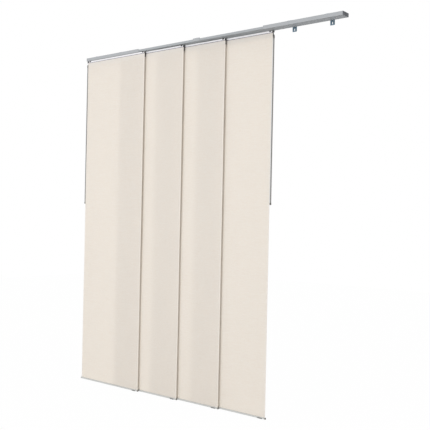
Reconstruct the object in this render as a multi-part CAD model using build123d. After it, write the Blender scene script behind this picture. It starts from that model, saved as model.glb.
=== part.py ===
from build123d import *
import os

# Panel track blind: four fabric panels that hang side by side from a telescoping four-channel rail.
# X runs along the rail, -Y points into the room, +Z is up, and all sizes are in millimetres.
# The wall is the plane Y = 0. The origin is midway between the two slots of the centre bracket.

os.makedirs("parts", exist_ok=True)

# Rail
rail_length = 2184.0  # drawn right out
rail_depth = 68.0
rail_height = 22.5
rail_corner = 0.8
channel_count = 4
sleeve_wall = 1.5
sleeve_slot = 6.5
clip_groove_depth = 3.5  # shallow groove along the top of a sleeve, where the bracket clips hold
clip_groove_lip = 1.2
clip_groove_reach = 5.0  # how far in from each face the groove's lips reach

# Inner channels, which slide in the sleeves
channel_wall = 1.2
channel_slot = 6.0
nest_side_gap = 0.4
nest_top_gap = 0.5
nest_floor_gap = 0.4
nest_end_gap = 1.0
channel_grip = 33.5  # of each inner channel's length, still held in the sleeve when the rail is drawn out

# Joiner, the short saddle that holds the inner channels side by side
joiner_length = 58.0
joiner_screw_spread = 40.0

# End caps of the rail
end_cap_flange = 2.5
end_cap_plug = 5.0
end_cap_recess = 1.4
end_cap_rim = 2.6
plug_gap = 0.15

# Wall brackets, their clips and the screws that join them
bracket_insets = (105.0, 365.0)  # from each end of the rail
bracket_width = 30.0
bracket_thickness = 2.0
bracket_bend = 3.0
bracket_below_rail_top = 51.5
bracket_reach_share = 0.93  # of the rail's depth
rail_to_bracket = 1.0
wall_slot_length = 14.0
wall_slot_width = 5.5
wall_slot_pitch = 25.0
wall_slot_drop = 14.0  # upper slot's centre below the rail's top
bracket_corner = 3.0
seat_gap = 0.1
clip_length = 24.0
clip_thickness = 1.5
clip_collar_diameter = 8.0
clip_screw_diameter = 4.0
clip_screw_head = 7.6
clip_screw_head_height = 2.3
clip_slot_length = 16.0
joiner_screw_diameter = 2.9
joiner_screw_head = 5.4
joiner_screw_head_height = 1.7
screw_hole_gap = 0.1  # around a screw's shank
screw_tip = 2.0  # what a screw reaches past the last sheet it holds
drive_share = 0.55  # of a screw head's diameter

# Panels
panel_width = 597.0
panel_lefts = (15.0, 367.0, 714.0, 1073.0)  # from the rail's left end to each panel's left edge
total_height = 2438.0  # from the rail's top to the lowest point
header_drop = 2.0  # from the rail's underside to the header's top
fabric_thickness = 0.8
bead_diameter = 3.0

# Header rail, its hook-and-loop tape and its end caps
header_depth = 8.0
header_neck_height = 7.0
header_wall = 1.2
header_slot = 3.4
header_web = 1.6
header_foot = 1.5
header_bare = 7.0  # of the web, left bare between the neck and the fabric's top
tape_height = 21.5
tape_recess = 1.4
tape_proud = 0.6
header_cap_flange = 6.0
header_cap_plug = 4.0
header_cap_ear_thickness = 3.0
header_cap_ear_height = 9.0
header_cap_ear_drop = 1.0  # top of the ear below the header's top

# Gliders
glider_inset = 20.0  # from the panel's edge to the glider's middle
glider_head_length = 24.0
glider_head_height = 5.0
glider_head_gap = 0.45  # each side, in the inner channel
glider_run_gap = 0.25  # above the inner channel's lips
glider_ramp_length = 4.0
glider_ramp_height = 1.6
glider_neck_length = 16.0
glider_neck_gap = 0.5
glider_saddle_length = 14.0
glider_saddle_wall = 1.0
glider_saddle_height = 6.0  # how far its two cheeks reach down the header's neck
glider_saddle_top_gap = 0.6  # under the rail
glider_saddle_corner = 1.5
glider_foot_length = 17.0
glider_foot_gap = 0.2
glider_stem_gap = 0.2

# Bottom rail, its end caps and its clip
bottom_rail_depth = 9.0
bottom_rail_height = 11.0
bottom_rail_corner = 2.4
bottom_groove_diameter = 4.2
bottom_groove_drop = 3.6  # groove's centre below the bottom rail's top
bottom_groove_mouth = 1.8
bottom_hollow_width = 4.4
bottom_hollow_height = 2.6
bottom_hollow_floor = 1.3
bottom_cap_flange = 5.0
bottom_cap_plug = 8.0
bottom_clip_length = 32.0
bottom_clip_inset = 38.0  # from the panel's right edge to the clip's middle
bottom_clip_wall = 1.0
bottom_clip_gap = 0.15
bottom_clip_height_share = 0.55  # of the bottom rail's height

# Pull wands, one beside the first panel's left edge and one beside the last panel's right edge
wand_offset = 6.5  # from the panel's edge to the wand's axis
wand_forward = 2.5  # from the channel's middle toward the room
wand_length = 1078.0  # from the ear's hole to the tip's end
ear_hole_diameter = 4.4
hook_wire_diameter = 1.8
hook_half_span = 3.7
hook_free_end = 6.0
hook_shoulder = 9.0
hook_jog = 5.0
hook_drop = 24.0  # from the hook's top to its eye
hook_bend = 2.0
hook_eye_radius = 2.4
eye_bar_diameter = 2.4
eye_slot_gap = 0.4
connector_diameter = 11.2
connector_top_diameter = 8.0
connector_above_eye = 3.6
connector_taper = 8.0
connector_length = 21.0
rod_diameter = 9.0
rod_socket = 8.0
socket_gap = 0.1
tip_length = 14.0
tip_wall = 0.9
tip_socket = 10.0

# Places that follow from the sizes
rail_left = -rail_length / 2
rail_right = rail_length / 2
rail_rear = -(bracket_thickness + rail_to_bracket)
rail_front = rail_rear - rail_depth
rail_top = wall_slot_drop + wall_slot_pitch / 2
rail_bottom = rail_top - rail_height
cell_width = (rail_depth - (channel_count + 1) * sleeve_wall) / channel_count
channel_pitch = cell_width + sleeve_wall
channel_ys = [
    rail_front + sleeve_wall + cell_width / 2 + n * channel_pitch
    for n in range(channel_count)
]
groove_floor = rail_top - clip_groove_depth
cell_ceiling = groove_floor - sleeve_wall
cell_floor = rail_bottom + sleeve_wall

channel_width = cell_width - 2 * nest_side_gap
channel_top = cell_ceiling - nest_top_gap
channel_bottom = cell_floor + nest_floor_gap
channel_floor = channel_bottom + channel_wall

# Pushed right in, the sleeves meet the joiner and the channels meet the end caps. Drawn right out, the sleeves
# still hold the channels by the grip.
channel_stop = end_cap_flange + end_cap_plug + nest_end_gap
sleeve_length = (rail_length - joiner_length + 2 * channel_stop + 2 * channel_grip) / 4
collapsed_length = 2 * sleeve_length + joiner_length
channel_length = collapsed_length - 2 * channel_stop

header_top = rail_bottom - header_drop
fabric_top = header_top - header_neck_height - header_bare
header_bottom = fabric_top - tape_height - header_foot
tape_front_offset = header_depth / 2 + tape_proud  # in front of the channel's middle
fabric_offset = tape_front_offset + fabric_thickness / 2

lowest = rail_top - total_height
bottom_rail_bottom = lowest + bottom_clip_wall + bottom_clip_gap
bottom_rail_top = bottom_rail_bottom + bottom_rail_height
bead_z = bottom_rail_top - bottom_groove_drop

ear_hole_z = header_top - header_cap_ear_drop - header_cap_ear_height / 2
hook_z = ear_hole_z - (ear_hole_diameter - hook_wire_diameter) / 2 + seat_gap
eye_z = hook_z - hook_drop
tip_end_z = ear_hole_z - wand_length


def band(y_low, y_high, z_low, z_high):
    """A rectangle of the rail's cross-section, from its edges."""
    middle = Pos((y_low + y_high) / 2, (z_low + z_high) / 2)
    return middle * Rectangle(y_high - y_low, z_high - z_low)


def along_x(profile, x_low, x_high):
    """A cross-section run along the rail."""
    return Pos(x_low, 0, 0) * extrude(Plane.YZ * profile, x_high - x_low)


def block(x_low, x_high, y_low, y_high, z_low, z_high):
    """A box, from its faces."""
    return along_x(band(y_low, y_high, z_low, z_high), x_low, x_high)


def group(pieces):
    """Separate solids of one kind, kept together as one node."""
    return Compound([solid for piece in pieces for solid in piece.solids()])


def pan_screw(x, y, seat_z, diameter, head, head_height, tip_z):
    """A pan-head screw that points down, with a cross recess in its head."""
    shank = Pos(x, y, (seat_z + tip_z) / 2) * Cylinder(diameter / 2, seat_z - tip_z)
    dome = Pos(x, y, seat_z + head_height / 2) * Cylinder(head / 2, head_height)
    dome = chamfer(dome.edges().group_by(Axis.Z)[-1], head_height * 0.45)
    recess = Box(head * drive_share, head * 0.14, head_height)
    recess += Box(head * 0.14, head * drive_share, head_height)
    return shank + dome - Pos(x, y, seat_z + head_height) * recess


def rail_outline(bottom):
    """The outside of the rail's cross-section, with its long edges rounded."""
    outline = band(rail_front, rail_rear, bottom, rail_top)
    return fillet(outline.vertices(), rail_corner)


def clip_groove():
    """The undercut groove along the top, as the section that is cut away."""
    under = band(rail_front + sleeve_wall, rail_rear - sleeve_wall, groove_floor, rail_top - clip_groove_lip)
    mouth = band(rail_front + clip_groove_reach, rail_rear - clip_groove_reach, groove_floor, rail_top)
    return under + mouth


def sleeve_profile():
    """A sleeve: four lipped cells side by side under the clip groove."""
    profile = rail_outline(rail_bottom) - clip_groove()
    for y in channel_ys:
        profile -= band(y - cell_width / 2, y + cell_width / 2, cell_floor, cell_ceiling)
        profile -= band(y - sleeve_slot / 2, y + sleeve_slot / 2, rail_bottom, cell_floor)
    return profile


def joiner_profile():
    """The joiner: the same outside, with cells open at the bottom that straddle the inner channels."""
    profile = rail_outline(channel_bottom) - clip_groove()
    for y in channel_ys:
        profile -= band(y - cell_width / 2, y + cell_width / 2, channel_bottom, cell_ceiling)
    return profile


def channel_profile(y):
    """One inner channel: a C with its lips turned in at the bottom."""
    inside = channel_width / 2 - channel_wall
    profile = band(y - channel_width / 2, y + channel_width / 2, channel_bottom, channel_top)
    profile -= band(y - inside, y + inside, channel_floor, channel_top - channel_wall)
    profile -= band(y - channel_slot / 2, y + channel_slot / 2, channel_bottom, channel_floor)
    return profile


def joiner_screw_places():
    """Where the joiner is screwed down, two screws to a channel."""
    return [
        (side * joiner_screw_spread / 2, y)
        for y in channel_ys
        for side in (-1, 1)
    ]


def screw_holes():
    """The clearance holes of the joiner's screws, through the joiner and the channels' tops."""
    radius = joiner_screw_diameter / 2 + screw_hole_gap
    return [
        Pos(x, y, cell_ceiling) * Cylinder(radius, 3 * clip_groove_depth)
        for x, y in joiner_screw_places()
    ]


def inner_channel(n):
    """An inner channel, drilled for the joiner's screws."""
    half = channel_length / 2
    solid = along_x(channel_profile(channel_ys[n]), -half, half)
    return solid - screw_holes()[2 * n : 2 * n + 2]


def joiner():
    """The saddle over the four inner channels."""
    half = joiner_length / 2
    return along_x(joiner_profile(), -half, half) - screw_holes()


def joiner_screws():
    """The screws that hold the joiner to the channels."""
    tip = channel_top - channel_wall - screw_tip
    return group(
        pan_screw(x, y, groove_floor, joiner_screw_diameter, joiner_screw_head, joiner_screw_head_height, tip)
        for x, y in joiner_screw_places()
    )


def sleeve(side):
    """An outer length of rail. The side is -1 at the left end and 1 at the right."""
    end = rail_left if side < 0 else rail_right
    span = sorted([end - side * end_cap_flange, end - side * sleeve_length])
    return along_x(sleeve_profile(), *span)


def end_cap(side):
    """A moulded cap with a plug for each cell and a shallow recess behind each channel on its face."""
    end = rail_left if side < 0 else rail_right
    inner_face = end - side * end_cap_flange
    solid = along_x(rail_outline(rail_bottom), *sorted([end, inner_face]))
    for y in channel_ys:
        half = cell_width / 2
        low, high = cell_floor + plug_gap, cell_ceiling - plug_gap
        plug = band(y - half + plug_gap, y + half - plug_gap, low, high)
        solid += along_x(plug, *sorted([inner_face, inner_face - side * end_cap_plug]))
        recess = band(y - half + end_cap_rim / 2, y + half - end_cap_rim / 2, low, high)
        solid -= along_x(recess, *sorted([end, end - side * end_cap_recess]))
    return solid


def bracket(x):
    """An L-shaped pressed bracket: one leg flat on the wall, the other over the rail."""
    low = rail_top - bracket_below_rail_top
    seat = rail_top + seat_gap
    top = seat + bracket_thickness
    front = rail_rear - rail_depth * bracket_reach_share
    profile = band(-bracket_thickness, 0, low, top) + band(front, 0, seat, top)
    outer = profile.vertices().sort_by_distance((0, top, 0))[0]
    profile = fillet(outer, bracket_bend)
    inner = profile.vertices().sort_by_distance((-bracket_thickness, seat, 0))[0]
    profile = fillet(inner, bracket_bend - bracket_thickness)
    solid = along_x(profile, x - bracket_width / 2, x + bracket_width / 2)
    wall_leg_ends = solid.edges().filter_by(Axis.Y).group_by(Axis.Z)[0]
    rail_leg_ends = solid.edges().filter_by(Axis.Z).group_by(Axis.Y)[0]
    solid = fillet(wall_leg_ends + rail_leg_ends, bracket_corner)
    upright = Plane.XZ * Rot(0, 0, 90) * SlotOverall(wall_slot_length, wall_slot_width)
    wall_slot = extrude(upright, 2 * bracket_thickness, both=True)
    for drop in (wall_slot_drop, wall_slot_drop + wall_slot_pitch):
        solid -= Pos(x, 0, rail_top - drop) * wall_slot
    clearance = clip_screw_diameter + 2 * screw_hole_gap
    clip_slot = extrude(Rot(0, 0, 90) * SlotOverall(clip_slot_length, clearance), 2 * bracket_thickness, both=True)
    return solid - Pos(x, rail_rear - rail_depth / 2, seat) * clip_slot


def bracket_clip(x):
    """The plate in the clip groove, with a threaded collar that rises to the bracket."""
    half_span = rail_depth / 2 - sleeve_wall - 2 * seat_gap
    middle = rail_rear - rail_depth / 2
    top = rail_top - clip_groove_lip - seat_gap
    plate = block(
        x - clip_length / 2,
        x + clip_length / 2,
        middle - half_span,
        middle + half_span,
        top - clip_thickness,
        top,
    )
    plate = fillet(plate.edges().filter_by(Axis.Z), 2 * clip_thickness)
    collar_height = clip_groove_lip + seat_gap
    collar = Pos(x, middle, top + collar_height / 2) * Cylinder(clip_collar_diameter / 2, collar_height)
    hole = Cylinder(clip_screw_diameter / 2 + screw_hole_gap, 4 * clip_thickness)
    return plate + collar - Pos(x, middle, top) * hole


def clip_screw(x):
    """The screw that draws the clip up against the groove's lips."""
    seat = rail_top + seat_gap + bracket_thickness
    tip = rail_top - clip_groove_lip - seat_gap - clip_thickness - seat_gap
    middle = rail_rear - rail_depth / 2
    return pan_screw(x, middle, seat, clip_screw_diameter, clip_screw_head, clip_screw_head_height, tip)


def bracket_xs(side):
    """The places of the brackets on a sleeve."""
    end = rail_left if side < 0 else rail_right
    return [end - side * inset for inset in bracket_insets]


def panel_left(n):
    """A panel's left edge."""
    return rail_left + panel_lefts[n]


def fabric(n):
    """The hanging sheet, with a round bead along its lower hem."""
    y = channel_ys[n] - fabric_offset
    half = fabric_thickness / 2
    profile = band(y - half, y + half, bead_z, fabric_top)
    profile += Pos(y, bead_z) * Circle(bead_diameter / 2)
    return along_x(profile, panel_left(n), panel_left(n) + panel_width)


def header(n):
    """The extruded carrier rail: a slotted neck over a web that is recessed for the tape."""
    y = channel_ys[n]
    front = y - header_depth / 2
    neck_bottom = header_top - header_neck_height
    inside = header_depth / 2 - header_wall
    web_back = front + tape_recess + header_web
    profile = band(front, y + header_depth / 2, neck_bottom, header_top)
    profile -= band(y - inside, y + inside, neck_bottom + header_wall, header_top - header_wall)
    profile -= band(y - header_slot / 2, y + header_slot / 2, header_top - header_wall, header_top)
    profile += band(front + tape_recess, web_back, header_bottom, neck_bottom)
    profile += band(front, web_back, header_bottom, header_bottom + header_foot)
    left = panel_left(n) + header_cap_flange
    return along_x(profile, left, panel_left(n) + panel_width - header_cap_flange)


def tape(n):
    """The hook-and-loop tape between the header and the fabric."""
    y = channel_ys[n]
    back = y - header_depth / 2 + tape_recess
    low = header_bottom + header_foot + seat_gap
    profile = band(y - tape_front_offset, back, low, fabric_top)
    left = panel_left(n) + header_cap_flange
    return along_x(profile, left, panel_left(n) + panel_width - header_cap_flange)


def wand_x(side):
    """The wand's axis: beside the first panel's left edge, or the last panel's right edge."""
    if side < 0:
        return panel_left(0) - wand_offset
    return panel_left(channel_count - 1) + panel_width + wand_offset


def wand_y(side):
    """How far from the wall the wand hangs."""
    return channel_ys[0 if side < 0 else channel_count - 1] - wand_forward


def header_cap(n, side):
    """A cap on the header's end. The two at the outer ends of the blind have an ear for the wand."""
    y = channel_ys[n]
    end = panel_left(n) + (panel_width if side > 0 else 0)
    inner_face = end - side * header_cap_flange
    outline = band(y - header_depth / 2, y + header_depth / 2, header_bottom, header_top)
    solid = along_x(fillet(outline.vertices(), header_wall), *sorted([end, inner_face]))
    inside = header_depth / 2 - header_wall - plug_gap
    low = header_top - header_neck_height + header_wall + plug_gap
    plug = band(y - inside, y + inside, low, header_top - header_wall - plug_gap)
    solid += along_x(plug, *sorted([inner_face, inner_face - side * header_cap_plug]))
    if (n, side) in ((0, -1), (channel_count - 1, 1)):
        half = header_cap_ear_thickness / 2
        low, top = ear_hole_z - header_cap_ear_height / 2, ear_hole_z + header_cap_ear_height / 2
        outer = wand_x(side) + side * header_cap_ear_height / 2
        ear = block(*sorted([inner_face, outer]), wand_y(side) - half, wand_y(side) + half, low, top)
        tip_edges = ear.edges().filter_by(Axis.Y).sort_by(Axis.X)
        tip_edges = tip_edges[-2:] if side > 0 else tip_edges[:2]
        solid += fillet(tip_edges, header_cap_ear_height / 2 - seat_gap)
        hole = Rot(90, 0, 0) * Cylinder(ear_hole_diameter / 2, 2 * header_cap_ear_thickness)
        solid -= Pos(wand_x(side), wand_y(side), ear_hole_z) * hole
    return solid


def glider(n, side):
    """A moulded glider: a ramped head that runs in the channel, a neck, a saddle over the header, and a foot in it."""
    y = channel_ys[n]
    x = panel_left(n) + panel_width / 2 + side * (panel_width / 2 - glider_inset)
    head_half = channel_width / 2 - channel_wall - glider_head_gap
    run = channel_floor + glider_run_gap
    half = glider_head_length / 2
    side_view = Polyline(
        (x - half, run + glider_ramp_height),
        (x - half + glider_ramp_length, run),
        (x + half - glider_ramp_length, run),
        (x + half, run + glider_ramp_height),
        (x + half, run + glider_head_height),
        (x - half, run + glider_head_height),
        close=True,
    )
    head = Pos(0, y, 0) * extrude(Plane.XZ * make_face(side_view), head_half, both=True)
    neck_half = channel_slot / 2 - glider_neck_gap
    saddle_top = rail_bottom - glider_saddle_top_gap
    neck = block(x - glider_neck_length / 2, x + glider_neck_length / 2, y - neck_half, y + neck_half, saddle_top, run)
    neck = fillet(neck.edges().filter_by(Axis.Z), neck_half * 0.9)
    half = glider_saddle_length / 2
    seat = header_top + glider_foot_gap
    inside = header_depth / 2 + glider_foot_gap
    outside = inside + glider_saddle_wall
    low = header_top - glider_saddle_height
    saddle = block(x - half, x + half, y - outside, y + outside, low, saddle_top)
    saddle = fillet(saddle.edges().filter_by(Axis.Z), glider_saddle_corner)
    saddle -= block(x - 2 * half, x + 2 * half, y - inside, y + inside, low, seat)
    stem_half = header_slot / 2 - glider_stem_gap
    foot_half = header_depth / 2 - header_wall - glider_foot_gap
    foot_top = header_top - header_wall - glider_foot_gap
    foot_bottom = header_top - header_neck_height + header_wall + glider_foot_gap
    stem = block(x - half, x + half, y - stem_half, y + stem_half, foot_top, seat)
    reach = glider_foot_length / 2
    foot = block(x - reach, x + reach, y - foot_half, y + foot_half, foot_bottom, foot_top)
    return head + neck + saddle + stem + foot


def bottom_outline(n, grow):
    """The outside of the bottom rail's cross-section, grown by a margin."""
    y = channel_ys[n] - fabric_offset
    middle = Pos(y, (bottom_rail_bottom + bottom_rail_top) / 2)
    width, height = bottom_rail_depth + 2 * grow, bottom_rail_height + 2 * grow
    return middle * RectangleRounded(width, height, bottom_rail_corner + grow)


def bottom_hollow(n, gap):
    """The lower hollow of the bottom rail, shrunk by a gap for the cap's plug."""
    y = channel_ys[n] - fabric_offset
    half = bottom_hollow_width / 2 - gap
    low = bottom_rail_bottom + bottom_hollow_floor + gap
    return band(y - half, y + half, low, low + bottom_hollow_height - 2 * gap)


def bottom_rail(n):
    """The extruded weight bar, with a keyhole groove for the fabric's bead."""
    y = channel_ys[n] - fabric_offset
    profile = bottom_outline(n, 0) - bottom_hollow(n, 0)
    profile -= Pos(y, bead_z) * Circle(bottom_groove_diameter / 2)
    profile -= band(y - bottom_groove_mouth / 2, y + bottom_groove_mouth / 2, bead_z, bottom_rail_top)
    return along_x(profile, panel_left(n), panel_left(n) + panel_width)


def bottom_cap(n, side):
    """A rounded cap on the end of the bottom rail, plugged into its hollow."""
    end = panel_left(n) + (panel_width if side > 0 else 0)
    outer = end + side * bottom_cap_flange
    solid = along_x(bottom_outline(n, 0), *sorted([end, outer]))
    rim = solid.faces().sort_by(Axis.X)[-1 if side > 0 else 0].edges()
    solid = chamfer(rim, bottom_rail_corner * 0.5)
    return solid + along_x(bottom_hollow(n, plug_gap), *sorted([end, end - side * bottom_cap_plug]))


def bottom_clip(n):
    """The springy U-shaped clip round the underside of the bottom rail."""
    y = channel_ys[n] - fabric_offset
    profile = bottom_outline(n, bottom_clip_gap + bottom_clip_wall) - bottom_outline(n, bottom_clip_gap)
    cut = bottom_rail_bottom + bottom_rail_height * bottom_clip_height_share
    profile -= band(y - bottom_rail_depth, y + bottom_rail_depth, cut, bottom_rail_top + bottom_rail_height)
    middle = panel_left(n) + panel_width - bottom_clip_inset
    return along_x(profile, middle - bottom_clip_length / 2, middle + bottom_clip_length / 2)


def wand_hook(side):
    """A bent wire that passes through the ear's hole and ends in a round eye."""
    x, y = wand_x(side), wand_y(side)
    neck_z = hook_z - hook_shoulder
    path = FilletPolyline(
        (x, y + hook_half_span, hook_z - hook_free_end),
        (x, y + hook_half_span, hook_z),
        (x, y - hook_half_span, hook_z),
        (x, y - hook_half_span, neck_z),
        (x, y, neck_z - hook_jog),
        (x, y, eye_z + hook_eye_radius),
        radius=hook_bend,
    )
    start = Plane(origin=path @ 0, z_dir=path % 0)
    wire = sweep(start * Circle(hook_wire_diameter / 2), path)
    eye = Pos(x, y, eye_z) * Rot(0, 90, 0) * Torus(hook_eye_radius, hook_wire_diameter / 2)
    return wire + eye


def wand_connector(side):
    """The socket on the rod's top: a slotted head with a moulded bar through the hook's eye."""
    x, y = wand_x(side), wand_y(side)
    top = eye_z + connector_above_eye
    bottom = top - connector_length
    profile = Polyline(
        (0, bottom),
        (connector_diameter / 2, bottom),
        (connector_diameter / 2, top - connector_taper),
        (connector_top_diameter / 2, top),
        (0, top),
        close=True,
    )
    body = Pos(x, y, 0) * revolve(Plane.XZ * make_face(profile), Axis.Z)
    socket = Cylinder(rod_diameter / 2 + socket_gap, rod_socket)
    body -= Pos(x, y, bottom + rod_socket / 2) * socket
    half = hook_wire_diameter / 2 + eye_slot_gap
    slot_floor = eye_z - hook_eye_radius - half
    body -= block(x - half, x + half, y - connector_diameter, y + connector_diameter, slot_floor, top + half)
    bar_length = connector_top_diameter * 0.9
    return body + Pos(x, y, eye_z) * Rot(0, 90, 0) * Cylinder(eye_bar_diameter / 2, bar_length)


def rod_span():
    """The rod's lowest and highest points."""
    top = eye_z + connector_above_eye - connector_length + rod_socket - socket_gap
    return tip_end_z + tip_length - tip_socket, top


def wand_rod(side):
    """The plain round rod."""
    x, y = wand_x(side), wand_y(side)
    low, high = rod_span()
    return Pos(x, y, (low + high) / 2) * Cylinder(rod_diameter / 2, high - low)


def wand_tip(side):
    """The rounded cap over the rod's lower end."""
    x, y = wand_x(side), wand_y(side)
    radius = rod_diameter / 2 + socket_gap + tip_wall
    body = Pos(x, y, tip_end_z + tip_length / 2) * Cylinder(radius, tip_length)
    body = chamfer(body.edges().group_by(Axis.Z)[0], radius * 0.4)
    socket = Cylinder(rod_diameter / 2 + socket_gap, tip_socket + 2 * socket_gap)
    return body - Pos(x, y, rod_span()[0] + tip_socket / 2) * socket


nodes = {
    "joiner": joiner(),
    "joiner_screws": joiner_screws(),
    "centre_bracket": bracket(0),
    "centre_clip": bracket_clip(0),
    "centre_clip_screw": clip_screw(0),
}
for number in range(channel_count):
    nodes[f"inner_channel_{number + 1}"] = inner_channel(number)
for name, hand in (("left", -1), ("right", 1)):
    places = bracket_xs(hand)
    nodes[f"{name}_sleeve"] = sleeve(hand)
    nodes[f"{name}_end_cap"] = end_cap(hand)
    nodes[f"{name}_brackets"] = group(bracket(x) for x in places)
    nodes[f"{name}_clips"] = group(bracket_clip(x) for x in places)
    nodes[f"{name}_clip_screws"] = group(clip_screw(x) for x in places)
    nodes[f"{name}_wand_hook"] = wand_hook(hand)
    nodes[f"{name}_wand_connector"] = wand_connector(hand)
    nodes[f"{name}_wand_rod"] = wand_rod(hand)
    nodes[f"{name}_wand_tip"] = wand_tip(hand)
for number in range(channel_count):
    panel = f"panel_{number + 1}"
    nodes[f"{panel}_fabric"] = fabric(number)
    nodes[f"{panel}_header"] = header(number)
    nodes[f"{panel}_tape"] = tape(number)
    nodes[f"{panel}_header_caps"] = group(header_cap(number, hand) for hand in (-1, 1))
    nodes[f"{panel}_gliders"] = group(glider(number, hand) for hand in (-1, 1))
    nodes[f"{panel}_bottom_rail"] = bottom_rail(number)
    nodes[f"{panel}_bottom_caps"] = group(bottom_cap(number, hand) for hand in (-1, 1))
    nodes[f"{panel}_bottom_clip"] = bottom_clip(number)

for name, shape in nodes.items():
    export_step(shape, f"parts/{name}.step")
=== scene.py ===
import math

import bmesh
import bpy
from mathutils import Matrix, Vector, noise


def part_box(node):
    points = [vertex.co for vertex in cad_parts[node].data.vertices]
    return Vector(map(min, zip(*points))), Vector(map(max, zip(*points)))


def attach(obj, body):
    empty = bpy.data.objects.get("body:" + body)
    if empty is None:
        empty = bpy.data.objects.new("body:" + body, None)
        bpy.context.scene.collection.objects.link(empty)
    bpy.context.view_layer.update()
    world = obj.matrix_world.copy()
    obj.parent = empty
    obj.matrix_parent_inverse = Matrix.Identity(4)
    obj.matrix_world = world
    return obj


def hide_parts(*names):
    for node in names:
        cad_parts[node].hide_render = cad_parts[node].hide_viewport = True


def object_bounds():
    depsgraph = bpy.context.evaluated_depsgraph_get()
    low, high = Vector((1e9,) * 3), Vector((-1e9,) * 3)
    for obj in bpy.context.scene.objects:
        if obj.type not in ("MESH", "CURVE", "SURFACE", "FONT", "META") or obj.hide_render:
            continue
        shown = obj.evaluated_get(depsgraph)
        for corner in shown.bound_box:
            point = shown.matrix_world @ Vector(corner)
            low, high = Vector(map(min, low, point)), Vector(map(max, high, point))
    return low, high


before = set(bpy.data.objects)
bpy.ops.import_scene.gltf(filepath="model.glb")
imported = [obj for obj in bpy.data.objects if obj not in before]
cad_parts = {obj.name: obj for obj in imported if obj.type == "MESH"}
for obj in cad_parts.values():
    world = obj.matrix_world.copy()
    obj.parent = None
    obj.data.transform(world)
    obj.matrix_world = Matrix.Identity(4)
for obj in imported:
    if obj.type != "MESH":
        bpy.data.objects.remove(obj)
CAD_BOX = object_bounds()

bl_info = {
    "name": "Panel track blind",
    "version": (1, 0, 0),
    "blender": (4, 5, 0),
    "location": "3D View > Sidebar > Panel track blind",
    "description": "Finishes a telescoping panel track blind: fabric panels, rail, brackets and wands",
    "category": "Object",
}

MM = 0.001
PANEL_NUMBERS = (1, 2, 3, 4)
SIDES = ("left", "right")

# How fine each pattern of the finishes is, as features per metre along x, y and z
WEFT_SLUBS = (22, 22, 420)
WARP_SLUBS = (520, 22, 16)
MOTTLE = (60, 60, 110)
DRIFT = (3, 3, 2)
DIE_LINES = (3, 900, 900)
ORANGE_PEEL = (900, 900, 900)
COAT_TONE = (9, 30, 30)
FLOW_MARKS = (40, 40, 25)
ZINC_CRYSTALS = (260, 260, 260)
ZINC_HAZE = (45, 45, 45)
WIRE_WEAR = (1500, 1500, 700)
PILE_LOOPS = (1100, 1100, 1100)
THREAD_TWIST = 9000  # radians per metre
ZINC_CAST = (0.78, 0.92, 1.08)  # what the blue passivation does to red, green and blue


def linear(red, green, blue):
    """A colour given as 0 to 255 in sRGB, as the linear values that a shader takes.

    The numbers are those of the sRGB standard's curve.
    """
    shares = [value / 255 for value in (red, green, blue)]
    return tuple(s / 12.92 if s <= 0.04045 else ((s + 0.055) / 1.055) ** 2.4 for s in shares)


def colour_property(name, description, *rgb):
    """A colour picker with its default."""
    return bpy.props.FloatVectorProperty(
        name=name, description=description, subtype="COLOR", size=3, min=0, max=1, default=linear(*rgb)
    )


def length_property(name, description, millimetres):
    """A length in metres, with its default given in millimetres."""
    return bpy.props.FloatProperty(
        name=name, description=description, subtype="DISTANCE", unit="LENGTH", min=0, default=millimetres * MM
    )


def share_property(name, description, default):
    """A share from 0 to 1, with its default."""
    return bpy.props.FloatProperty(
        name=name, description=description, subtype="FACTOR", min=0, max=1, default=default
    )


class FabricSettings(bpy.types.PropertyGroup):
    """Sizes and colours of the hanging cloth."""

    thickness: length_property("Thickness", "Thickness of one layer of cloth", 0.8)
    hem_width: length_property("Side hem", "Width of the fold along each side edge", 10)
    hem_extra: length_property("Hem thickness", "What the folded layer adds at the back", 0.6)
    ripple: length_property("Ripple", "How far the cloth wanders from flat at mid height", 1.3)
    thread_pitch: length_property("Thread pitch", "From one thread of the weave to the next", 0.9)
    stitch_length: length_property("Stitch length", "Length of a stitch on the face", 3.2)
    stitch_pitch: length_property("Stitch pitch", "From one stitch to the next", 4.6)
    stitch_radius: length_property("Stitch thickness", "Radius of the sewing thread", 0.22)
    light_thread: colour_property("Light thread", "Colour of the paler threads", 248, 244, 238)
    dark_thread: colour_property("Dark thread", "Colour of the slubs", 240, 231, 221)
    glow: colour_property("Glow", "Colour of the light that has come through the cloth", 250, 245, 236)
    back_light: share_property("Translucency", "Share of the light that passes each face of the cloth", 0.3)
    doubled_share: share_property("Doubled cloth", "How much of it a folded or taped edge lets through", 0.6)


class RailSettings(bpy.types.PropertyGroup):
    """Colours of the telescoping rail."""

    paint: colour_property("Sleeve paint", "Satin paint of the sleeves and joiner", 174, 177, 180)
    channel: colour_property("Channel paint", "Satin paint of the inner channels", 168, 172, 175)
    cap: colour_property("End cap", "Moulded caps on the rail's ends", 104, 107, 112)


class MetalSettings(bpy.types.PropertyGroup):
    """Colours of the pressed and turned steel."""

    zinc: colour_property("Zinc", "Blue zinc plating of brackets and clips", 112, 129, 138)
    screw: colour_property("Screw", "Plating of the screws", 150, 151, 155)
    wire: colour_property("Hook wire", "Plated wire of the wand hooks", 128, 127, 126)


class PlasticSettings(bpy.types.PropertyGroup):
    """Colours of the small moulded pieces."""

    black: colour_property("Glider", "Gliders and header plugs", 34, 31, 29)
    bottom_cap: colour_property("Bottom rail cap", "Caps on the ends of the bottom rails", 98, 93, 85)
    clip: colour_property("Bottom rail clip", "Spring clip under each bottom rail", 110, 109, 106)
    connector: colour_property("Connector", "Socket and tip of the wands", 96, 94, 90)
    wand: colour_property("Wand", "Round rod of the wands", 130, 129, 128)


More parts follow.
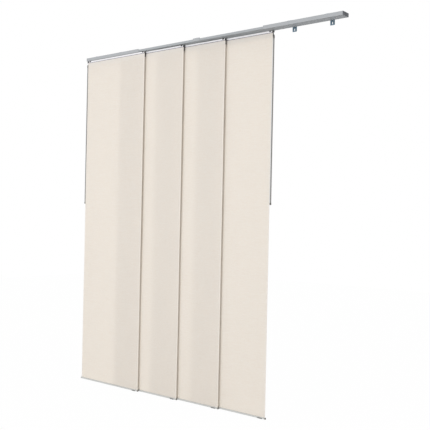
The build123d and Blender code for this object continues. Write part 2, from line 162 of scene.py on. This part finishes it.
class CarrierSettings(bpy.types.PropertyGroup):
    """Colours of the pieces that carry the cloth."""

    header: colour_property("Header rail", "Satin paint on the neck of the header rails", 252, 251, 253)
    # Bare metal below the paint, partly its own colour and partly painted shade: darkened to stand in for the
    # shade in the recess under the neck
    web: colour_property("Header web", "Bare metal of the header rails below the paint", 158, 154, 164)
    painted: length_property("Header paint height", "Painted height at the top of the header rails", 9)
    tape: colour_property("Tape", "Hook-and-loop tape", 190, 184, 178)
    bottom_rail: colour_property("Bottom rail", "Satin paint of the bottom rails", 200, 201, 199)


class StageSettings(bpy.types.PropertyGroup):
    """Floor, light and camera."""

    floor: colour_property("Floor", "Plain pale floor", 240, 240, 240)
    floor_drop: length_property("Floor gap", "From the blind's lowest point down to the floor", 70)
    sky: bpy.props.FloatProperty(name="Sky", description="Strength of the even light", min=0, default=0.74)
    key: bpy.props.FloatProperty(
        name="Key", description="Power of the large lamp in front", unit="POWER", min=0, default=118
    )
    lens: bpy.props.FloatProperty(
        name="Lens", description="Focal length", unit="CAMERA", min=1, default=58.61
    )


class BlindSettings(bpy.types.PropertyGroup):
    """Everything that a user would change."""

    fabric: bpy.props.PointerProperty(type=FabricSettings)
    rail: bpy.props.PointerProperty(type=RailSettings)
    metal: bpy.props.PointerProperty(type=MetalSettings)
    plastic: bpy.props.PointerProperty(type=PlasticSettings)
    carrier: bpy.props.PointerProperty(type=CarrierSettings)
    stage: bpy.props.PointerProperty(type=StageSettings)


class Term:
    """One output of a shader node, so that maths on it can be written as an expression."""

    def __init__(self, finish, socket):
        self.finish = finish
        self.socket = socket

    def math(self, operation, *others):
        """A Math node that takes this output first."""
        values = dict(enumerate((self,) + others))
        return self.finish.term("ShaderNodeMath", {"operation": operation}, values)

    def __add__(self, other):
        return self.math("ADD", other)

    def __mul__(self, other):
        return self.math("MULTIPLY", other)

    def __sub__(self, other):
        return self.math("SUBTRACT", other)

    def __truediv__(self, other):
        return self.math("DIVIDE", other)

    def __rsub__(self, other):
        return self.finish.term("ShaderNodeMath", {"operation": "SUBTRACT"}, {0: other, 1: self})

    __radd__ = __add__
    __rmul__ = __mul__

    def sine(self):
        return self.math("SINE")

    def clamped(self):
        """The same, held between 0 and 1."""
        return self.finish.term("ShaderNodeClamp", {}, {"Value": self})

    def spread(self, low, high):
        """Stretches the range from low to high over 0 to 1."""
        return ((self - low) / (high - low)).clamped()

    def around(self, centre, width):
        """A value that wanders over a width around its centre, while this output goes from 0 to 1."""
        return self * width + (centre - width / 2)


class Finish:
    """The nodes of a material or of the world, under construction."""

    def __init__(self, owner):
        self.owner = owner
        owner.use_nodes = True
        self.tree = owner.node_tree
        self.tree.nodes.clear()

    @classmethod
    def material(cls, name):
        """Starts a new material."""
        return cls(bpy.data.materials.new(name))

    def node(self, kind, settings, values):
        """Any node: its settings first, then the values or links of its sockets."""
        made = self.tree.nodes.new(kind)
        for key, value in settings.items():
            setattr(made, key, value)
        for key, value in values.items():
            if isinstance(value, Term):
                self.tree.links.new(value.socket, made.inputs[key])
            else:
                made.inputs[key].default_value = value
        return made

    def term(self, kind, settings, values, output=0):
        """One output of a new node."""
        return Term(self, self.node(kind, settings, values).outputs[output])

    def place(self):
        """The point on the piece at rest, in metres."""
        return self.term("ShaderNodeTexCoord", {}, {}, "Object")

    def axes(self):
        """The same point, as three numbers."""
        split = self.node("ShaderNodeSeparateXYZ", {}, {0: self.place()})
        return [Term(self, split.outputs[i]) for i in range(3)]

    def stretched(self, counts):
        """The point, scaled to count features per metre along each axis."""
        return self.term("ShaderNodeMapping", {}, {"Vector": self.place(), "Scale": counts})

    def speckle(self, counts, detail=2, roughness=0.5):
        """Noise with that many features per metre along each axis."""
        values = {"Vector": self.stretched(counts), "Scale": 1, "Detail": detail, "Roughness": roughness}
        return self.term("ShaderNodeTexNoise", {}, values, "Fac")

    def cells(self, counts, output):
        """Rounded cells with that many to the metre along each axis."""
        values = {"Vector": self.stretched(counts), "Scale": 1}
        return self.term("ShaderNodeTexVoronoi", {"feature": "F1"}, values, output)

    def blend(self, factor, first, second):
        """A colour between two others."""
        settings = {"data_type": "RGBA"}
        return self.term("ShaderNodeMix", settings, {0: factor, 6: opaque(first), 7: opaque(second)}, 2)

    def bump(self, height, distance, strength):
        """A relief of that height, as a normal."""
        return self.term("ShaderNodeBump", {}, {"Height": height, "Distance": distance, "Strength": strength})

    def surface(self, values):
        """An opaque surface."""
        return self.term("ShaderNodeBsdfPrincipled", {}, values)

    def output(self, shader, kind="ShaderNodeOutputMaterial"):
        """Ends the nodes with a shader, and returns what they belong to."""
        self.node(kind, {}, {"Surface": shader})
        return self.owner


def opaque(colour):
    """A colour with its alpha, or a link as it is."""
    if isinstance(colour, Term):
        return colour
    return (*colour, 1.0)


def shaded(colour, share):
    """The same colour, darker or lighter by a share."""
    return tuple(min(1.0, value * share) for value in colour)


def cloth_material(name, settings):
    """Plain weave with uneven threads, which lets some light through."""
    finish = Finish.material(name)
    x, _, z = finish.axes()
    radians_per_metre = 2 * math.pi / settings.thread_pitch
    warp = (x * radians_per_metre).sine()
    weft = (z * radians_per_metre).sine()
    weft_slub = finish.speckle(WEFT_SLUBS, detail=3, roughness=0.6)
    warp_slub = finish.speckle(WARP_SLUBS, detail=3, roughness=0.6)
    mottle = finish.speckle(MOTTLE, roughness=0.55)
    drift = finish.speckle(DRIFT, detail=1)
    crossing = (warp * weft) * 0.5 + 0.5
    slubs = (weft_slub * 0.5 + warp_slub * 0.2 + mottle * 0.3).spread(low=0.36, high=0.66)
    shade = (slubs * 0.8 + crossing * 0.12 + drift * 0.08).clamped()
    colour = finish.blend(shade, settings.light_thread, settings.dark_thread)
    doubled = finish.term("ShaderNodeAttribute", {"attribute_name": "doubled"}, {}, "Fac")
    passing = (1 - doubled * (1 - settings.doubled_share)) * settings.back_light
    height = crossing * 0.55 + slubs * 0.45
    normal = finish.bump(height, distance=0.3 * MM, strength=0.55)
    face = finish.surface(
        {
            "Base Color": colour,
            "Roughness": 0.92,
            "Specular IOR Level": 0.18,
            "Sheen Weight": 0.12,
            "Sheen Roughness": 0.5,
            "Normal": normal,
        }
    )
    glow = opaque(settings.glow)
    through = finish.term("ShaderNodeBsdfTranslucent", {}, {"Color": glow, "Normal": normal})
    mixed = finish.term("ShaderNodeMixShader", {}, {0: passing, 1: face, 2: through})
    return finish.output(mixed)


def thread_material(name, colour):
    """Twisted sewing thread."""
    finish = Finish.material(name)
    x, _, z = finish.axes()
    twist = ((x + z) * THREAD_TWIST).sine() * 0.5 + 0.5
    values = {
        "Base Color": finish.blend(twist, colour, shaded(colour, 0.85)),
        "Roughness": 0.7,
        "Normal": finish.bump(twist, distance=0.1 * MM, strength=0.5),
    }
    return finish.output(finish.surface(values))


def paint_material(name, colour, roughness=0.46):
    """Satin powder coat on an extrusion, with faint die lines along its length."""
    finish = Finish.material(name)
    lines, peel, tone = [finish.speckle(counts) for counts in (DIE_LINES, ORANGE_PEEL, COAT_TONE)]
    shade = (lines * 0.45 + tone * 0.55).spread(low=0.3, high=0.7)
    values = {
        "Base Color": finish.blend(shade, shaded(colour, 1.03), shaded(colour, 0.95)),
        "Roughness": shade.around(roughness, width=0.1),
        "Specular IOR Level": 0.35,
        "Normal": finish.bump(lines * 0.5 + peel * 0.5, distance=0.05 * MM, strength=0.35),
    }
    return finish.output(finish.surface(values))


def header_material(name, settings, top):
    """Satin paint on the neck, and bare drawn metal below it, with a narrow edge between them. The metal
    below the paint is coloured darker than the bare metal alone, as painted shade in the recess under the
    neck.
    """
    finish = Finish.material(name)
    _, _, z = finish.axes()
    painted = (z - (top - settings.painted)).spread(low=-0.2 * MM, high=0.2 * MM)
    lines = finish.speckle(DIE_LINES)
    shade = lines.spread(low=0.3, high=0.7)
    # The metal below the paint, darkened past its own colour as painted shade under the neck
    bare_metal_and_shade = finish.blend(shade, shaded(settings.web, 1.05), shaded(settings.web, 0.9))
    paint = finish.blend(shade, settings.header, shaded(settings.header, 0.97))
    values = {
        "Base Color": finish.blend(painted, bare_metal_and_shade, paint),
        "Roughness": shade.around(0.43, width=0.1),
        "Specular IOR Level": 0.4,
        "Normal": finish.bump(lines, distance=0.05 * MM, strength=0.35),
    }
    return finish.output(finish.surface(values))


def plastic_material(name, colour, roughness, grain=1400):
    """Moulded plastic with a fine spark-eroded grain and slight flow marks."""
    finish = Finish.material(name)
    texture = finish.speckle((grain, grain, grain), roughness=0.6)
    flow = finish.speckle(FLOW_MARKS)
    shade = (texture * 0.4 + flow * 0.6).spread(low=0.32, high=0.68)
    values = {
        "Base Color": finish.blend(shade, shaded(colour, 1.08), shaded(colour, 0.88)),
        "Roughness": texture.around(roughness, width=0.16),
        "Normal": finish.bump(texture, distance=0.06 * MM, strength=0.5),
    }
    return finish.output(finish.surface(values))


def zinc_material(name, colour, roughness=0.34):
    """Zinc plating: small crystals of slightly different brightness, with a blue cast here and there."""
    finish = Finish.material(name)
    grey = finish.term("ShaderNodeRGBToBW", {}, {0: finish.cells(ZINC_CRYSTALS, "Color")})
    haze = finish.speckle(ZINC_HAZE, detail=3, roughness=0.6)
    shade = (grey * 0.5 + haze * 0.5).spread(low=0.25, high=0.75)
    cast = tuple(value * tint for value, tint in zip(colour, ZINC_CAST))
    values = {
        "Base Color": finish.blend(shade, shaded(colour, 1.1), cast),
        "Metallic": 0.9,
        "Roughness": shade.around(roughness, width=0.18),
        "Normal": finish.bump(haze, distance=0.08 * MM, strength=0.3),
    }
    return finish.output(finish.surface(values))


def wire_material(name, colour):
    """Drawn wire with fine rings of wear."""
    finish = Finish.material(name)
    wear = finish.speckle(WIRE_WEAR)
    values = {
        "Base Color": finish.blend(wear, shaded(colour, 1.1), shaded(colour, 0.8)),
        "Metallic": 0.85,
        "Roughness": wear.around(0.35, width=0.2),
        "Normal": finish.bump(wear, distance=0.05 * MM, strength=0.3),
    }
    return finish.output(finish.surface(values))


def pile_material(name, colour):
    """Hook-and-loop pile, a dense fuzz of small loops, with painted shade that darkens the hollows between
    the loops.
    """
    finish = Finish.material(name)
    hollow_shade = finish.cells(PILE_LOOPS, "Distance").spread(low=0.1, high=0.7)
    values = {
        # Darker where the relief is lowest: painted shade in the hollows between the loops
        "Base Color": finish.blend(hollow_shade, shaded(colour, 1.1), shaded(colour, 0.7)),
        "Roughness": 0.95,
        "Normal": finish.bump(1 - hollow_shade, distance=0.4 * MM, strength=0.8),
    }
    return finish.output(finish.surface(values))


def finished_mesh(build, name, smooth):
    """Turns what was built into a mesh."""
    mesh = bpy.data.meshes.new(name)
    build.to_mesh(mesh)
    build.free()
    for polygon in mesh.polygons:
        polygon.use_smooth = smooth
    return mesh


def dress(material, *names):
    """Gives CAD nodes their finish."""
    for name in names:
        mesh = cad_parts[name].data
        mesh.materials.clear()
        mesh.materials.append(material)


def new_piece(name, mesh, material, body):
    """Links a finished mesh, gives it its material, and lets it ride on its body."""
    piece = bpy.data.objects.new(name, mesh)
    bpy.context.scene.collection.objects.link(piece)
    piece.data.materials.append(material)
    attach(piece, body)
    return piece


def spaced(start, stop, step):
    """Even steps from start to stop, both ends included."""
    count = max(1, round(abs(stop - start) / step))
    return [start + (stop - start) * i / count for i in range(count + 1)]


def ease(value, low, high):
    """0 below low and 1 above high, with a smooth rise between."""
    share = min(1.0, max(0.0, (value - low) / (high - low)))
    return share * share * (3 - 2 * share)


class Cloth:
    """The shape of one hanging panel, from its CAD solid."""

    bead_radius = 1.5 * MM
    bead_tip = 0.05 * MM  # half the cloth's thickness at the lowest point of the bead
    edge_radius = 0.4 * MM
    edge_steps = (0, 0.1 * MM, 0.25 * MM, edge_radius)
    edge_share = 0.35  # of the thickness, left at the very edge
    clamped_top = 24 * MM  # held flat by the tape
    clamped_bottom = 60 * MM  # held flat by the bottom rail
    free_below_top = 500 * MM  # from there down the ripple is full
    free_above_bead = 450 * MM  # from there up the ripple is full
    # Each wave of the ripple: its count per metre across, step to the next panel, count per metre down, share
    waves = ((3.1, 17.0, 1.3, 1.5), (9.0, 29.0, 3.2, 0.4))
    tape_shade = (-4 * MM, 2 * MM)  # above the header's bottom, where the tape's dimming starts and is full
    hem_below_header = 4 * MM
    hem_above_bead = (12 * MM, 16 * MM)  # where the hem's fold starts and is full
    edge_band = 2 * MM  # from an edge to the first even stretch of the mesh
    bead_band = 24 * MM  # the same above the bead
    column_step = 16 * MM
    row_step = 14 * MM
    top_row_step = 6 * MM
    stitch_drops = (4 * MM, 19 * MM)  # of the two lines of stitches along the tape, below the top
    stitch_inset = 5 * MM  # from a side edge to the ends of those lines
    hem_stitch_inset = 2 * MM  # from the inner edge of a hem to its line of stitches
    hem_stitch_ends = (18 * MM, 6 * MM)  # above the bead and below the header
    stitch_corners = 6
    # Along a stitch in half lengths, its thickness as a share, and its depth in the cloth in radii
    stitch_rings = ((-1, 0.4, 1.3), (-0.7, 1, 0.45), (0, 1, 0.1), (0.7, 1, 0.45), (1, 0.4, 1.3))

    def __init__(self, number, settings):
        self.number = number
        self.settings = settings
        low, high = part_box(f"panel_{number}_fabric")
        self.left, self.right = low.x, high.x
        self.top = high.z
        self.bead = low.z + self.bead_radius
        self.middle = (low.y + high.y) / 2
        self.header_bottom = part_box(f"panel_{number}_header")[0].z
        self.width = self.right - self.left
        self.length = self.top - self.bead

    def ripple(self, x, z):
        """How far the cloth stands out from flat. It is held flat at its top and at its bottom rail."""
        hold = ease(self.top - z, self.clamped_top, self.free_below_top)
        hold *= ease(z - self.bead, self.clamped_bottom, self.free_above_bead)
        wander = 0
        for across, step, down, share in self.waves:
            point = Vector(((x - self.left) * across, self.number * step, z * down))
            wander += share * noise.noise(point)
        return hold * self.settings.ripple * wander

    def folded(self, x):
        """1 where a side edge is folded back on itself, and 0 elsewhere."""
        inset = min(x - self.left, self.right - x)
        return 1 - ease(inset, self.settings.hem_width - self.edge_radius, self.settings.hem_width)

    def doubled(self, x, z):
        """1 where a fold or the tape behind the cloth holds the light back, and 0 elsewhere."""
        return max(self.folded(x), ease(z - self.header_bottom, *self.tape_shade))

    def hem(self, x, z):
        """The fold at the back of a side edge, which stops short of the header and the bottom rail."""
        clear = ease(self.header_bottom - z, 0, self.hem_below_header)
        clear *= ease(z - self.bead, *self.hem_above_bead)
        return self.settings.hem_extra * self.folded(x) * clear

    def half_thickness(self, x, z):
        """Half the cloth's thickness, rounded at its edges and grown to the bead along its lower end."""
        half = self.settings.thickness / 2
        inset = min(x - self.left, self.right - x, self.top - z)
        if inset < self.edge_radius:
            rounding = math.sqrt(1 - (1 - inset / self.edge_radius) ** 2)
            half *= self.edge_share + (1 - self.edge_share) * rounding
        offset = abs(z - self.bead)
        bead = math.sqrt(max(0.0, self.bead_radius**2 - offset**2))
        if z < self.bead:
            return max(bead, self.bead_tip)
        return max(half, bead)

    def columns(self):
        """Where the mesh has points across the panel, close together at its edges and its hems."""
        hem = self.settings.hem_width
        side = [*self.edge_steps, self.edge_band, hem - self.edge_radius, hem]
        middle = spaced(self.left + hem, self.right - hem, self.column_step)[1:-1]
        return [self.left + s for s in side] + middle + [self.right - s for s in reversed(side)]

    def rows(self):
        """Where the mesh has points down the panel, close together at its top and round its bead."""
        above_bead = [s * MM for s in (20, 16, 12, 4, 1.6, 1.45, 1.2, 0.8, 0.4)]
        below_bead = [s * MM for s in (0, -0.4, -0.8, -1.2, -1.4)] + [-self.bead_radius]
        upper = spaced(self.top - self.edge_band, self.header_bottom, self.top_row_step)
        body = spaced(self.header_bottom - self.hem_below_header, self.bead + self.bead_band, self.row_step)
        heights = [self.top - s for s in self.edge_steps] + upper + body
        return heights + [self.bead + s for s in above_bead + below_bead]

    def mesh(self):
        """Front and back faces, closed all round."""
        columns, rows = self.columns(), self.rows()
        build = bmesh.new()
        doubled = build.verts.layers.float.new("doubled")
        layers = []
        for face in (-1, 1):
            grid = []
            for z in rows:
                line = []
                for x in columns:
                    depth = face * self.half_thickness(x, z) + (self.hem(x, z) if face > 0 else 0)
                    line.append(build.verts.new((x, self.middle + self.ripple(x, z) + depth, z)))
                    line[-1][doubled] = self.doubled(x, z)
                grid.append(line)
            layers.append(grid)
        front, back = layers
        last_row, last_column = len(rows) - 1, len(columns) - 1
        for r in range(last_row):
            for c in range(last_column):
                build.faces.new((front[r][c], front[r + 1][c], front[r + 1][c + 1], front[r][c + 1]))
                build.faces.new((back[r][c], back[r][c + 1], back[r + 1][c + 1], back[r + 1][c]))
        for r in range(last_row):
            build.faces.new((front[r][0], back[r][0], back[r + 1][0], front[r + 1][0]))
            build.faces.new((front[r][-1], front[r + 1][-1], back[r + 1][-1], back[r][-1]))
        for c in range(last_column):
            build.faces.new((front[0][c], front[0][c + 1], back[0][c + 1], back[0][c]))
            build.faces.new((front[-1][c], back[-1][c], back[-1][c + 1], front[-1][c + 1]))
        return finished_mesh(build, f"panel_{self.number}_cloth", smooth=True)

    def stitch_lines(self):
        """Each line of stitches, as (start, end) points in the panel's plane."""
        hem = self.settings.hem_width - self.hem_stitch_inset
        low, high = self.bead + self.hem_stitch_ends[0], self.header_bottom - self.hem_stitch_ends[1]
        sides = [((x, low), (x, high)) for x in (self.left + hem, self.right - hem)]
        start, end = self.left + self.stitch_inset, self.right - self.stitch_inset
        return sides + [((start, self.top - drop), (end, self.top - drop)) for drop in self.stitch_drops]

    def stitches(self):
        """Rows of short arched stitches that sit in the face of the cloth."""
        build = bmesh.new()
        radius, reach = self.settings.stitch_radius, self.settings.stitch_length / 2
        for (x0, z0), (x1, z1) in self.stitch_lines():
            span = math.hypot(x1 - x0, z1 - z0)
            along = ((x1 - x0) / span, (z1 - z0) / span)
            for step in spaced(reach, span - reach, self.settings.stitch_pitch):
                centre = (x0 + along[0] * step, z0 + along[1] * step)
                self.add_stitch(build, centre, along, radius, reach)
        return finished_mesh(build, f"panel_{self.number}_stitching", smooth=True)

    def add_stitch(self, build, centre, along, radius, reach):
        """One stitch: a thin tube that dips into the cloth at both ends."""
        across = (-along[1], along[0])
        rings = []
        for share, size, sink in self.stitch_rings:
            x = centre[0] + along[0] * reach * share
            z = centre[1] + along[1] * reach * share
            face = self.middle + self.ripple(x, z) - self.settings.thickness / 2
            ring = []
            for corner in range(self.stitch_corners):
                angle = 2 * math.pi * corner / self.stitch_corners
                side = math.cos(angle) * radius * size
                depth = math.sin(angle) * radius * size + sink * radius
                ring.append(build.verts.new((x + across[0] * side, face + depth, z + across[1] * side)))
            rings.append(ring)
        for first, second in zip(rings, rings[1:]):
            for corner in range(self.stitch_corners):
                following = (corner + 1) % self.stitch_corners
                corners = (first[corner], first[following], second[following], second[corner])
                build.faces.new(corners)
        build.faces.new(list(reversed(rings[0])))
        build.faces.new(rings[-1])


class BLIND_OT_fabric(bpy.types.Operator):
    """Makes the four cloth panels with their hems and stitching"""

    bl_idname = "blind.fabric"
    bl_label = "Fabric panels"

    def execute(self, context):
        settings = context.scene.blind.fabric
        weave = cloth_material("Pale sand weave", settings)
        thread = thread_material("Sewing thread", shaded(settings.light_thread, 0.97))
        for number in PANEL_NUMBERS:
            cloth = Cloth(number, settings)
            body = f"panel_{number}"
            piece = new_piece(f"{body}_cloth", cloth.mesh(), weave, body)
            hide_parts(f"{body}_fabric")
            stitching = new_piece(f"{body}_stitching", cloth.stitches(), thread, body)
        return {"FINISHED"}


class BLIND_OT_rail(bpy.types.Operator):
    """Paints the sleeves, the inner channels and the joiner, and finishes the end caps"""

    bl_idname = "blind.rail"
    bl_label = "Telescoping rail"

    def execute(self, context):
        settings = context.scene.blind.rail
        sleeves = [f"{side}_sleeve" for side in SIDES] + ["joiner"]
        channels = [f"inner_channel_{number}" for number in PANEL_NUMBERS]
        dress(paint_material("Sleeve paint", settings.paint), *sleeves)
        dress(paint_material("Channel paint", settings.channel, 0.32), *channels)
        caps = [f"{side}_end_cap" for side in SIDES]
        dress(plastic_material("End cap plastic", settings.cap, 0.52), *caps)
        return {"FINISHED"}


class BLIND_OT_brackets(bpy.types.Operator):
    """Plates the wall brackets, their clips and the screws"""

    bl_idname = "blind.brackets"
    bl_label = "Wall brackets"

    def execute(self, context):
        settings = context.scene.blind.metal
        zinc = zinc_material("Blue zinc", settings.zinc)
        clip = zinc_material("Clip zinc", shaded(settings.zinc, 0.9), 0.42)
        screw = zinc_material("Screw plating", settings.screw, 0.28)
        dress(zinc, "centre_bracket", *[f"{side}_brackets" for side in SIDES])
        dress(clip, "centre_clip", *[f"{side}_clips" for side in SIDES])
        screws = ["centre_clip_screw", "joiner_screws"] + [f"{side}_clip_screws" for side in SIDES]
        dress(screw, *screws)
        return {"FINISHED"}


class BLIND_OT_carriers(bpy.types.Operator):
    """Finishes the header rails, tapes, plugs and gliders at the top of the panels"""

    bl_idname = "blind.carriers"
    bl_label = "Headers and gliders"

    def execute(self, context):
        settings = context.scene.blind
        header_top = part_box("panel_1_header")[1].z
        header = header_material("Header metal", settings.carrier, header_top)
        tape = pile_material("Tape pile", settings.carrier.tape)
        black = plastic_material("Glider plastic", settings.plastic.black, 0.45)
        for number in PANEL_NUMBERS:
            dress(header, f"panel_{number}_header")
            dress(tape, f"panel_{number}_tape")
            dress(black, f"panel_{number}_header_caps", f"panel_{number}_gliders")
        return {"FINISHED"}


class BLIND_OT_bottom_rails(bpy.types.Operator):
    """Paints the bottom rails and finishes their caps and clips"""

    bl_idname = "blind.bottom_rails"
    bl_label = "Bottom rails"

    def execute(self, context):
        settings = context.scene.blind
        paint = paint_material("Bottom rail paint", settings.carrier.bottom_rail, 0.4)
        cap = plastic_material("Bottom cap plastic", settings.plastic.bottom_cap, 0.5)
        clip = plastic_material("Bottom clip plastic", settings.plastic.clip, 0.45)
        for number in PANEL_NUMBERS:
            dress(paint, f"panel_{number}_bottom_rail")
            dress(cap, f"panel_{number}_bottom_caps")
            dress(clip, f"panel_{number}_bottom_clip")
        return {"FINISHED"}


class BLIND_OT_wands(bpy.types.Operator):
    """Finishes the two pull wands and their hooks"""

    bl_idname = "blind.wands"
    bl_label = "Pull wands"

    def execute(self, context):
        settings = context.scene.blind
        wire = wire_material("Hook wire", settings.metal.wire)
        moulded = plastic_material("Connector plastic", settings.plastic.connector, 0.4)
        rod = plastic_material("Wand plastic", settings.plastic.wand, 0.3, 500)
        for side in SIDES:
            dress(wire, f"{side}_wand_hook")
            dress(moulded, f"{side}_wand_connector", f"{side}_wand_tip")
            dress(rod, f"{side}_wand_rod")
        return {"FINISHED"}


class BLIND_OT_stage(bpy.types.Operator):
    """Makes the floor, the sky, the lamp and the camera"""

    bl_idname = "blind.stage"
    bl_label = "Stage"

    floor_half_width = 9.0  # metres
    show_through = 0.985  # share of plain white in what the camera sees of the floor, the rest is its shadows
    lamp_size = 2.2  # metres
    lamp_place = Vector((-0.5, -6.2, -0.7))
    lamp_target = Vector((-0.2, 0, -1.1))
    camera_place = Vector((3.02506, -3.61697, -1.16029))
    camera_yaw = 0.67414  # this and the next two in radians
    camera_pitch = 0.00241
    camera_roll = 0.02089
    sensor_width = 36  # mm

    def execute(self, context):
        settings = context.scene.blind.stage
        self.make_floor(context.scene, settings)
        self.make_sky(context.scene, settings)
        self.make_lamp(context.scene, settings)
        self.make_camera(context.scene, settings)
        context.scene.view_settings.view_transform = "Standard"
        return {"FINISHED"}

    def seen_directly(self, finish):
        """1 for rays from the camera or by way of gloss or glass, and 0 for the rays that light a surface."""
        path = finish.node("ShaderNodeLightPath", {}, {})
        names = ("Is Camera Ray", "Is Glossy Ray", "Is Transmission Ray")
        camera, glossy, transmission = [Term(finish, path.outputs[name]) for name in names]
        return (camera + glossy + transmission).clamped()

    def make_floor(self, scene, settings):
        """A floor that is white to the camera, but for the object's shadows."""
        half = self.floor_half_width
        level = CAD_BOX[0][2] - settings.floor_drop
        build = bmesh.new()
        turns = ((-1, -1), (1, -1), (1, 1), (-1, 1))
        build.faces.new([build.verts.new((x * half, y * half, level)) for x, y in turns])
        floor = bpy.data.objects.new("floor", finished_mesh(build, "floor", smooth=False))
        scene.collection.objects.link(floor)
        finish = Finish.material("Pale floor")
        matte = finish.term("ShaderNodeBsdfDiffuse", {}, {"Color": opaque(settings.floor)})
        glow = finish.term("ShaderNodeEmission", {}, {"Color": (1, 1, 1, 1), "Strength": 1.0})
        factor = self.seen_directly(finish) * self.show_through
        mixed = finish.term("ShaderNodeMixShader", {}, {0: factor, 1: matte, 2: glow})
        floor.data.materials.append(finish.output(mixed))

    def make_sky(self, scene, settings):
        """Even light from all round, which the camera sees as plain white."""
        finish = Finish(bpy.data.worlds.new("Soft white"))
        strength = self.seen_directly(finish) * (1 - settings.sky) + settings.sky
        sky = finish.term("ShaderNodeBackground", {}, {"Color": (1, 1, 1, 1), "Strength": strength})
        scene.world = finish.output(sky, "ShaderNodeOutputWorld")

    def make_lamp(self, scene, settings):
        """A large lamp in front of the blind."""
        lamp = bpy.data.lights.new("key", "AREA")
        lamp.shape = "SQUARE"
        lamp.size = self.lamp_size
        lamp.energy = settings.key
        holder = bpy.data.objects.new("key", lamp)
        holder.location = self.lamp_place
        holder.rotation_euler = (self.lamp_target - self.lamp_place).to_track_quat("-Z", "Y").to_euler()
        scene.collection.objects.link(holder)

    def make_camera(self, scene, settings):
        """The camera, turned from looking along +Y: left by its yaw, up by its pitch, then rolled."""
        yaw, pitch, roll = self.camera_yaw, self.camera_pitch, self.camera_roll
        ahead = Vector((-math.sin(yaw) * math.cos(pitch), math.cos(yaw) * math.cos(pitch), math.sin(pitch)))
        level = ahead.cross(Vector((0, 0, 1))).normalized()
        upright = level.cross(ahead)
        right = level * math.cos(roll) + upright * math.sin(roll)
        up = upright * math.cos(roll) - level * math.sin(roll)
        camera = bpy.data.cameras.new("camera")
        camera.sensor_width = self.sensor_width
        camera.lens = settings.lens
        holder = bpy.data.objects.new("camera", camera)
        turn = Matrix((right, up, -ahead)).transposed().to_4x4()
        holder.matrix_world = Matrix.Translation(self.camera_place) @ turn
        scene.collection.objects.link(holder)
        scene.camera = holder


OPERATORS = (
    BLIND_OT_stage,
    BLIND_OT_fabric,
    BLIND_OT_rail,
    BLIND_OT_brackets,
    BLIND_OT_carriers,
    BLIND_OT_bottom_rails,
    BLIND_OT_wands,
)


class BLIND_PT_sidebar(bpy.types.Panel):
    """Lists what the blind is made of"""

    bl_idname = "BLIND_PT_sidebar"
    bl_label = "Panel track blind"
    bl_space_type = "VIEW_3D"
    bl_region_type = "UI"
    bl_category = "Panel track blind"

    def draw(self, context):
        for operator in OPERATORS:
            self.layout.operator(operator.bl_idname)
        for group in context.scene.blind.bl_rna.properties:
            if group.type == "POINTER" and group.identifier != "rna_type":
                box = self.layout.box()
                box.label(text=group.identifier.replace("_", " ").capitalize())
                values = getattr(context.scene.blind, group.identifier)
                for value in values.bl_rna.properties:
                    if not value.is_readonly and value.identifier != "name":
                        box.prop(values, value.identifier)


CLASSES = (
    FabricSettings,
    RailSettings,
    MetalSettings,
    PlasticSettings,
    CarrierSettings,
    StageSettings,
    BlindSettings,
    *OPERATORS,
    BLIND_PT_sidebar,
)


def register():
    """Adds the classes, and the blind's settings on the scene."""
    for item in CLASSES:
        bpy.utils.register_class(item)
    bpy.types.Scene.blind = bpy.props.PointerProperty(type=BlindSettings)


def unregister():
    """Removes the settings and the classes."""
    del bpy.types.Scene.blind
    for item in reversed(CLASSES):
        bpy.utils.unregister_class(item)


def main():
    """Makes the whole blind."""
    register()
    for operator in OPERATORS:
        family, action = operator.bl_idname.split(".")
        getattr(getattr(bpy.ops, family), action)()


if __name__ == "__main__":
    main()
